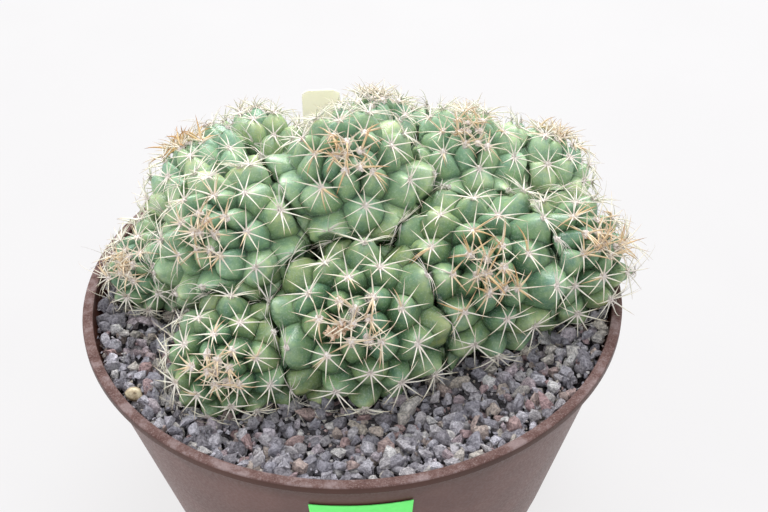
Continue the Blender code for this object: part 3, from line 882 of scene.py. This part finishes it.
def skin_material():
    """Green skin: painted shade darkens the valleys, and the paler tops of the warts are partly
    their own yellower colour and partly painted highlight. Each wart has its own tone; the skin
    is bluer near the tip, cloudy and dotted, and paled on some heads by a painted haze of back
    light."""
    made, tree, shader = material("cactus_skin", 0.27, 0.58)
    names = ("rise", "young", "tone", "painted_haze")
    rise, young, tone, painted_haze = (attribute(tree, name) for name in names)
    # Painted shade in the valleys at low rise; the pale top stops are partly the warts' own
    # yellower colour and partly painted highlight
    body = ramp(tree, rise, [
        (0.0, 0.020, 0.034, 0.018),
        (0.10, 0.065, 0.109, 0.054),
        (0.36, 0.108, 0.175, 0.094),
        (0.80, 0.214, 0.298, 0.170),
        (1.0, 0.360, 0.428, 0.295),
    ])
    body = times(tree, body, mixed(tree, tone, (0.84, 0.97, 0.95), (1.22, 1.08, 0.88)))
    body = mixed(tree, young, body, times(tree, body, (0.72, 0.90, 1.02)))
    cloudy = noise_of(tree, 210, 5, 0.6)
    clouds = ramp(tree, cloudy, [(0.34, 0.70, 0.84, 0.91), (0.66, 1.44, 1.32, 1.05)])
    body = times(tree, body, clouds)
    fine = noise_of(tree, 1300, 3, 0.6)
    dots = times(tree, ramp(tree, fine, [(0.52, 0), (0.64, 1)]), 0.24)
    body = mixed(tree, dots, body, (0.45, 0.52, 0.42))
    # Painted haze of back light: the skin of heads with a higher value is paled and whitened
    body = mixed(tree, times(tree, painted_haze, 0.34), body, times(tree, body, (2.02, 1.98, 2.16)))
    body = mixed(tree, times(tree, painted_haze, 0.14), body, (0.41, 0.53, 0.40))
    coloured(tree, shader, body)
    put(shader, Subsurface_Weight=0.12, Subsurface_Radius=SKIN_GLOW, Subsurface_Scale=1.0)
    bumped(tree, shader, fine, 0.28, 0.0006)
    return made


def spine_material():
    """Spines run from a pale or amber root to a brown point, and old ones are grey."""
    made, tree, shader = material("spine", 0.42)
    along = attribute(tree, "along")
    pale = ramp(tree, along, [
        (0.0, 0.82, 0.75, 0.69),
        (0.55, 0.86, 0.83, 0.68),
        (0.80, 0.74, 0.63, 0.47),
        (1.0, 0.38, 0.21, 0.12),
    ])
    amber = ramp(tree, along, [
        (0.0, 0.79, 0.64, 0.44),
        (0.3, 0.65, 0.43, 0.165),
        (0.7, 0.46, 0.21, 0.050),
        (1.0, 0.20, 0.075, 0.025),
    ])
    old = ramp(tree, along, [
        (0.0, 0.52, 0.47, 0.45),
        (0.7, 0.46, 0.42, 0.40),
        (1.0, 0.22, 0.18, 0.16),
    ])
    fresh = mixed(tree, attribute(tree, "warm"), pale, amber)
    coloured(tree, shader, mixed(tree, attribute(tree, "grey"), fresh, old))
    return made


def stone_material():
    """Porous lava, most of it grey, with some red, tan and pale stones."""
    made, tree, shader = material("lava_stone", 0.9, 0.3)
    base = ramp(tree, attribute(tree, "kind"), [
        (0.0, 0.245, 0.230, 0.250),
        (0.22, 0.405, 0.396, 0.450),
        (0.40, 0.490, 0.465, 0.475),
        (0.60, 0.625, 0.612, 0.678),
        (0.74, 0.440, 0.300, 0.300),
        (0.84, 0.560, 0.505, 0.440),
        (1.0, 0.720, 0.710, 0.715),
    ])
    grain = noise_of(tree, 900, 6, 0.7)
    speckle = ramp(tree, grain, [(0.32, 0.38, 0.37, 0.39), (0.68, 1.55, 1.52, 1.50)])
    pits = ramp(tree, cells_of(tree, 850)["Distance"], [(0.10, 0.30), (0.32, 1)])
    coloured(tree, shader, times(tree, times(tree, base, speckle), pits))
    bumped(tree, shader, grain, 1.0, 0.0016)
    return made


def by_height(tree, low, high, at_low, at_high, coordinates="Object", kind="SMOOTHSTEP"):
    """A value that runs from at_low to at_high between two heights."""
    place = tree.nodes.new("ShaderNodeTexCoord")
    split = tree.nodes.new("ShaderNodeSeparateXYZ")
    span = tree.nodes.new("ShaderNodeMapRange")
    span.interpolation_type = kind
    put(span, From_Min=low, From_Max=high, To_Min=at_low, To_Max=at_high)
    tree.links.new(place.outputs[coordinates], split.inputs[0])
    tree.links.new(split.outputs["Z"], span.inputs["Value"])
    return span.outputs["Result"]


def pot_material():
    """Brown plastic: pale dust on the flat of the rim, and painted shade darkening the wall just
    under it.
    """
    made, tree, shader = material("pot_plastic", 0.5, 0.32)
    dust = noise_of(tree, 900, 6, 0.65)
    broad = noise_of(tree, 60, 5)
    body = ramp(tree, broad, [(0.3, 0.102, 0.046, 0.038), (0.7, 0.138, 0.064, 0.053)])
    specks = times(tree, ramp(tree, dust, [(0.56, 0), (0.72, 1)]), 0.10)
    colour = mixed(tree, specks, body, (0.34, 0.27, 0.25))
    # Painted shade: the wall is darkened in a band just under the lip, where the lip shades it
    below_edge = by_height(tree, RIM_EDGE, RIM_EDGE + 0.3 * MM, 1, 0)
    under = times(tree, by_height(tree, *LIP_SHADE_BAND, 0, 1), below_edge)
    colour = mixed(tree, under, colour, times(tree, colour, (0.52, 0.42, 0.33)))
    film = ramp(tree, noise_of(tree, 120, 5, 0.65), [
        (0.36, 0.078, 0.036, 0.030),
        (0.50, 0.120, 0.066, 0.058),
        (0.62, 0.210, 0.150, 0.145),
    ])
    grit = ramp(tree, noise_of(tree, 1700, 4, 0.7), [(0.50, 0), (0.68, 0.6)])
    on_rim = by_height(tree, RIM_EDGE, RIM_EDGE + 0.4 * MM, 0, 1)
    dusty = mixed(tree, grit, film, (0.30, 0.23, 0.22))
    coloured(tree, shader, mixed(tree, on_rim, colour, dusty))
    rough = ramp(tree, dust, [(0.4, 0.34), (0.7, 0.54)])
    tree.links.new(mixed(tree, on_rim, rough, (0.95,) * 3), shader.inputs["Roughness"])
    bumped(tree, shader, dust, 0.10, 0.0003)
    return made


def tag_material():
    made, shader = mottled_material("tag_plastic")
    put(shader, Subsurface_Weight=0.7, Subsurface_Radius=TAG_GLOW, Subsurface_Scale=1.0)
    return made


def mix_material():
    made, tree, shader = material("mineral_mix", 0.95, 0.2)
    grains = cells_of(tree, 260)
    coloured(tree, shader, ramp(tree, grains["Color"], [
        (0.2, 0.035, 0.026, 0.020),
        (0.6, 0.085, 0.066, 0.052),
        (0.9, 0.20, 0.17, 0.15),
    ]))
    bumped(tree, shader, grains["Distance"], 0.8, 0.002)
    return made


def floor_material():
    """A pale table, lit from under like a light table, so that shadows stay faint."""
    made, tree, shader = material("pale_floor", 0.7, 0.2)
    stops = [(0.3, 0.058, 0.058, 0.061), (0.7, 0.064, 0.064, 0.067)]
    coloured(tree, shader, ramp(tree, noise_of(tree, 14, 3), stops))
    put(shader, Emission_Color=FLOOR_GLOW_COLOUR, Emission_Strength=FLOOR_GLOW)
    return made


def stem_points(head, first):
    """A round stem from inside the head to its foot, as points and faces from an index on."""
    middle = middle_of(head)
    across = middle.xy
    if across.length > STEM_REACH:
        across = across.normalized() * STEM_REACH
    foot = Vector((across.x, across.y, STEM_FOOT))
    axis = (foot - middle).normalized()
    side = axis.orthogonal().normalized()
    other = axis.cross(side)
    points = []
    for share, width in STEM_PROFILE:
        centre = middle.lerp(foot, share)
        for step in range(STEM_SIDES):
            angle = TURN * step / STEM_SIDES
            out = side * math.cos(angle) + other * math.sin(angle)
            points.append(centre + out * STEM_RADIUS * width * STEM_PLAY)
    rings = rings_of(first, len(STEM_PROFILE), STEM_SIDES)
    return np.array(points), sleeve(rings) + [tuple(rings[-1]), tuple(rings[0][::-1])]


def make_heads(skin, spine, wool, dried):
    for number, head in enumerate(HEADS, 1):
        rng = np.random.default_rng(100 + number)
        points, faces, (rise, tones, young), stars = skin_of(head, rng)
        stem, stem_faces = stem_points(head, len(points))
        extra = len(stem)
        faces += stem_faces
        body = smooth_object(f"{head}_skin", np.concatenate([points, stem]), faces, skin, [
            ("rise", np.append(rise, np.full(extra, STEM_RISE))),
            ("tone", np.append(tones, np.full(extra, 0.5))),
            ("young", np.append(young, np.zeros(extra))),
            ("painted_haze", np.full(len(points) + extra, HEADS[head][8])),
        ])
        paths, radii, warm, grey = spines_of(head, stars, rng)
        spine_points, spine_faces, along, stride = tubes(paths, radii, SPINE_SIDES)
        needles = smooth_object(f"{head}_spines", spine_points, spine_faces, spine, [
            ("along", along),
            ("warm", np.repeat(warm, stride)),
            ("grey", np.repeat(grey, stride)),
        ])
        wool_points, wool_faces = wool_of(stars, rng)
        fibre_points, fibre_faces = tubes(*fibres_of(head, stars, rng), 3)[:2]
        wool_faces += shifted(fibre_faces, len(wool_points))
        wool_points = np.concatenate([wool_points, fibre_points])
        pieces = [body, needles, smooth_object(f"{head}_wool", wool_points, wool_faces, wool)]
        if head in REMNANTS or head in dict(BARE_WARTS):
            strips = tubes(*remnants_of(head, stars, rng), 4)[:2]
            pieces.append(smooth_object(f"{head}_dried_flowers", *strips, dried))
        for piece in pieces:
            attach(piece, "root")
            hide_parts(head)


def stone_shape(rng, corners, fine):
    """One angular stone about 1 across, as points and triangles."""
    hull = bmesh.new()
    for _ in range(corners):
        direction = unit(rng.normal(0, 1, 3))
        hull.verts.new(direction * rng.uniform(0.38, 0.58))
    made = bmesh.ops.convex_hull(hull, input=hull.verts)
    inner = [item for item in made["geom_interior"] if isinstance(item, bmesh.types.BMVert)]
    bmesh.ops.delete(hull, geom=inner, context="VERTS")
    if fine:
        bmesh.ops.subdivide_edges(hull, edges=hull.edges[:], cuts=1, use_grid_fill=True)
        bmesh.ops.triangulate(hull, faces=hull.faces[:])
        offset = Vector(rng.uniform(0, 50, 3))
        for vert in hull.verts:
            vert.co *= 0.72 + 0.28 * 0.50 / vert.co.length
            vert.co *= 1.03 + 0.30 * noise.noise(vert.co * 5.5 + offset)
    bmesh.ops.recalc_face_normals(hull, faces=hull.faces[:])
    hull.verts.index_update()
    points = np.array([v.co for v in hull.verts])
    faces = np.array([[v.index for v in f.verts] for f in hull.faces])
    hull.free()
    return points, faces


def random_turn(rng):
    return np.array(Quaternion(unit(rng.normal(0, 1, 4))).to_matrix())


def ground(across):
    """The gravel's height at a distance from the pot's axis."""
    share = np.clip((across - CLIMB_START) / CLIMB_WIDTH, 0, 1)
    return GRAVEL_TOP + CLIMB * share * share * (3 - 2 * share)


def head_gap(x, y, z):
    """How far a point is outside the nearest head's ball."""
    gap = 1.0
    for head in HEADS:
        middle = middle_of(head)
        away = math.sqrt((x - middle.x) ** 2 + (y - middle.y) ** 2 + max(0.0, middle.z - z) ** 2)
        gap = min(gap, away - radius_of(head))
    return gap


def scatter(rng, shapes, pitch, jitter, sizes, levels, keep, pebble_room):
    """Stones on a jittered net over the bed, as a list of (points, faces)."""
    found = []
    reach = math.ceil(WALL_TOP_RADIUS / MM / pitch) + 1
    for row in range(-reach, reach + 1):
        for column in range(-reach, reach + 1):
            x = ((column + 0.5 * (row % 2)) * pitch + rng.uniform(-jitter, jitter)) * MM
            y = (row * pitch * math.sqrt(3) / 2 + rng.uniform(-jitter, jitter)) * MM
            size = rng.uniform(*sizes) * MM
            z = ground(math.hypot(x, y)) + rng.uniform(*levels) * MM
            wall = wall_radius(z) - WALL
            if rng.random() > keep or math.hypot(x, y) > wall or head_gap(x, y, z) < -UNDER_HEADS:
                continue
            if math.dist((x, y), PEBBLE_PLACE.xy) < pebble_room * MM:
                continue
            inwards = min(1.0, (wall - size * 0.5) / max(math.hypot(x, y), 1e-6))
            points, faces = shapes[rng.integers(len(shapes))]
            stretch = np.array([rng.uniform(*bounds) for bounds in STRETCH])
            laid = points * stretch @ random_turn(rng).T * size
            found.append((laid + np.array([x * inwards, y * inwards, z]), faces))
    return found


def joined(found, rng):
    """The stones' points and faces in one, and a random kind for each stone's points."""
    points, faces, kinds = [], [], []
    filled = 0
    for own, own_faces in found:
        points.append(own)
        faces.append(own_faces + filled)
        kinds.append(np.full(len(own), rng.random()))
        filled += len(own)
    return np.concatenate(points), np.concatenate(faces).tolist(), np.concatenate(kinds)


def make_pebble(pale):
    ball = bmesh.new()
    bmesh.ops.create_icosphere(ball, subdivisions=4, radius=1)
    for vert in ball.verts:
        vert.co *= 1 + 0.16 * noise.noise(vert.co * 1.3) + 0.03 * noise.noise(vert.co * 5)
        vert.co = vert.co * PEBBLE_SIZE + PEBBLE_PLACE
    pebble = built("gravel_pebble", ball, pale)
    pebble.data.shade_smooth()
    return pebble


def add_cone(builder, sides, lower, upper, bottom, top, place=(0, 0)):
    """A closed upright cone, from its radii and its heights."""
    bmesh.ops.create_cone(
        builder, cap_ends=True, segments=sides, radius1=lower, radius2=upper,
        depth=top - bottom, matrix=Matrix.Translation((*place, (bottom + top) / 2)),
    )


def make_bed(grit):
    # The dark bed stands in for the shade between and under the stones
    disc = bmesh.new()
    bottom = GRAVEL_TOP - GRAVEL_DEPTH
    add_cone(disc, BED_SIDES, BED_RADIUS - BED_TAPER, BED_RADIUS, bottom, BED_TOP)
    return built("gravel_shade_bed", disc, grit)


def make_gravel(stone, grit, pale):
    rng = np.random.default_rng(7)
    large = [stone_shape(rng, LARGE_STONES[1], True) for _ in range(LARGE_STONES[0])]
    small = [stone_shape(rng, SMALL_STONES[1], False) for _ in range(SMALL_STONES[0])]
    layers = {}
    for name, settings in STONE_LAYERS.items():
        layers[name] = scatter(rng, small if name == "gravel_grit" else large, *settings)
    pieces = []
    for name, found in layers.items():
        points, faces, kinds = joined(found, rng)
        piece = smooth_object(name, points, faces, stone, [("kind", kinds)])
        piece.data.set_sharp_from_angle(angle=STONE_SHARP)
        pieces.append(piece)
    for piece in pieces + [make_pebble(pale), make_bed(grit)]:
        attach(piece, "root")
        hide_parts("gravel")


def wall_radius(height):
    return WALL_TOP_RADIUS - TAPER * (WALL_TOP - height)


def arc(centre, radius, start, stop, steps):
    """Profile points on an arc, angles in degrees from +X towards +Z."""
    found = []
    for step in range(steps + 1):
        angle = math.radians(start + (stop - start) * step / steps)
        found.append((centre[0] + radius * math.cos(angle), centre[1] + radius * math.sin(angle)))
    return found


def pot_profile():
    """The pot's section as (radius, height) points, from inside the lip round to the wall."""
    lip, inner, under = LIP_ROUNDING, LIP_INNER_ROUNDING, LIP_LOWER_ROUNDING
    inner_lip = RIM_RADIUS - LIP_BAND
    foot = wall_radius(0)
    profile = [(wall_radius(86 * MM) - WALL, 86 * MM), (inner_lip, 87.6 * MM)]
    profile += arc((inner_lip + inner, POT_HEIGHT - inner), inner, 180, 90, 5)
    profile += arc((RIM_RADIUS - lip, POT_HEIGHT - lip), lip, 90, 0, 7)
    profile += arc((RIM_RADIUS - under, WALL_TOP + under), under, 0, -90, 4)
    profile += [(WALL_TOP_RADIUS + 0.1 * MM, WALL_TOP), (WALL_TOP_RADIUS, WALL_TOP - 0.2 * MM)]
    profile += [(wall_radius(h * MM), h * MM) for h in (80, 60, 40, 20, 8)]
    profile += arc((foot - BASE_ROUNDING * 0.9, BASE_ROUNDING), BASE_ROUNDING, -10, -90, 6)
    profile += [(foot - 6 * MM, 0), (foot - 7 * MM, 0.8 * MM), (0, 0.8 * MM)]
    profile += [(0, FLOOR), (wall_radius(FLOOR) - WALL, FLOOR)]
    return profile + [(wall_radius(h * MM) - WALL, h * MM) for h in (30, 60)]


def drain_cutters():
    cutters = bmesh.new()
    for index in range(DRAIN_HOLES):
        angle = TURN * index / DRAIN_HOLES
        place = (DRAIN_CIRCLE * math.cos(angle), DRAIN_CIRCLE * math.sin(angle))
        add_cone(cutters, DRAIN_SIDES, DRAIN_RADIUS, DRAIN_RADIUS, -DRAIN_CUT, DRAIN_CUT, place)
    return built("drain_cutters", cutters)


def make_pot(plastic):
    builder = bmesh.new()
    points = [builder.verts.new((radius, 0, height)) for radius, height in pot_profile()]
    for one, other in zip(points, points[1:] + points[:1]):
        if one.co.x + other.co.x > 0:
            builder.edges.new((one, other))
    pot = built("pot_shell", builder, plastic)
    screw = pot.modifiers.new("Turn", "SCREW")
    screw.steps = POT_STEPS
    screw.render_steps = POT_STEPS
    screw.use_merge_vertices = True
    screw.merge_threshold = 0.01 * MM
    cutter = drain_cutters()
    cut = pot.modifiers.new("Drains", "BOOLEAN")
    cut.object = cutter
    cut.solver = "EXACT"
    graph = bpy.context.evaluated_depsgraph_get()
    done = bpy.data.meshes.new_from_object(pot.evaluated_get(graph))
    pot.modifiers.clear()
    pot.data = done
    bpy.data.objects.remove(cutter)
    done.shade_smooth()
    done.set_sharp_from_angle(angle=POT_SHARP)
    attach(pot, "root")
    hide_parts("pot")


def sheet(name, grid, point_at, look):
    """A thin closed sheet. Its points go by side, share of the width and of the height."""
    columns, rows = grid
    points = [point_at(side, column / columns, row / rows)
              for side in (0, 1) for row in range(rows + 1) for column in range(columns + 1)]
    stride = columns + 1
    layer = stride * (rows + 1)
    faces = []
    for row in range(rows):
        for a in range(row * stride, row * stride + columns):
            faces.append((a, a + 1, a + stride + 1, a + stride))
            faces.append((layer + a, layer + a + stride, layer + a + stride + 1, layer + a + 1))
    for c in range(columns):
        a = rows * stride + c
        faces.append((c + 1, c, layer + c, layer + c + 1))
        faces.append((a, a + 1, layer + a + 1, layer + a))
    for a in range(0, rows * stride, stride):
        b = a + columns
        faces.append((a, a + stride, layer + a + stride, layer + a))
        faces.append((b + stride, b, layer + b, layer + b + stride))
    piece = smooth_object(name, np.array(points), faces, look)
    piece.data.set_sharp_from_angle(angle=SHEET_SHARP)
    return piece


def make_sticker(paper):
    """A square note that follows the wall, with its lower corners lifting a little."""
    low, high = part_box("pot_label")

    def point_at(side, across, up):
        height = low.z + (high.z - low.z) * up
        share = across - 0.5
        corner = max(0.0, abs(share) * 2 - STICKER_CORNER) * max(0.0, STICKER_LOWER - up)
        radius = wall_radius(height) + STICKER_FACES[side] + corner * STICKER_CURL
        angle = -math.pi / 2 + share * STICKER_WIDTH / wall_radius(high.z)
        return radius * math.cos(angle), radius * math.sin(angle), height

    piece = sheet("sticker", STICKER_GRID, point_at, paper)
    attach(piece, "root")
    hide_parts("pot_label")


def make_tag(plastic):
    """A thin plastic strip with rounded upper corners, a narrow foot and a slight bow."""
    low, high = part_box("plant_label")
    middle = (low.x + high.x) / 2
    y = (low.y + high.y) / 2
    half = (high.x - low.x) / 2

    def point_at(side, across, up):
        height = low.z + (high.z - low.z) * up
        inset = TAG_CORNER - (high.z - height)
        width = half
        if inset > 0:
            width = half - TAG_CORNER + math.sqrt(max(0, TAG_CORNER**2 - inset**2))
        if height < TAG_SHOULDER:
            share = (height - low.z) / (TAG_SHOULDER - low.z)
            width = half * (TAG_POINT + (1 - TAG_POINT) * share)
        bow = TAG_BOW * min(1.0, max(0.0, (height - TAG_BOW_FROM) / TAG_BOW_FADE))
        share = across * 2 - 1
        back = TAG_FACES[side] + bow * (1 - share * share)
        return middle + share * width, y + back, height

    piece = sheet("tag", TAG_GRID, point_at, plastic)
    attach(piece, "root")
    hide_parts("plant_label")


def make_stage(pale):
    plane = bmesh.new()
    bmesh.ops.create_grid(plane, x_segments=2, y_segments=2, size=TABLE_HALF)
    floor = built("floor", plane, pale)


def make_light():
    """A soft dome, brightest overhead, and the soft lamps."""
    world = bpy.data.worlds.new("studio")
    world.use_nodes = True
    tree = world.node_tree
    background = tree.nodes["Background"]
    put(background, Color=DOME_COLOUR)
    dome = by_height(tree, 0, 1, *DOME, "Generated", "LINEAR")
    tree.links.new(dome, background.inputs["Strength"])
    bpy.context.scene.world = world
    for name, (place, size, power) in LAMPS.items():
        data = bpy.data.lights.new(name, "AREA")
        data.size = size
        data.energy = power
        lamp = shown(name, data)
        lamp.location = place
        aim = LAMP_AIM - Vector(place)
        lamp.rotation_euler = aim.to_track_quat("-Z", "Y").to_euler()


def make_camera():
    data = bpy.data.cameras.new("camera")
    data.lens = CAMERA_LENS
    data.sensor_width = CAMERA_SENSOR
    camera = shown("camera", data)
    camera.matrix_world = CAMERA_PLACE
    bpy.context.scene.camera = camera


make_camera()
make_light()
make_stage(floor_material())
wool, dried, pale, grit, paper = (
    mottled_material(name)[0]
    for name in ("wool", "dried_flower", "pale_pebble", "shade_bed", "sticker_paper")
)
make_heads(skin_material(), spine_material(), wool, dried)
make_gravel(stone_material(), grit, pale)
make_pot(pot_material())
make_sticker(paper)
make_tag(tag_material())
inner = mix_material()
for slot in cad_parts["potting_mix"].material_slots:
    slot.material = inner
bpy.context.scene.view_settings.view_transform = "Standard"
bpy.context.scene.view_settings.look = "None"
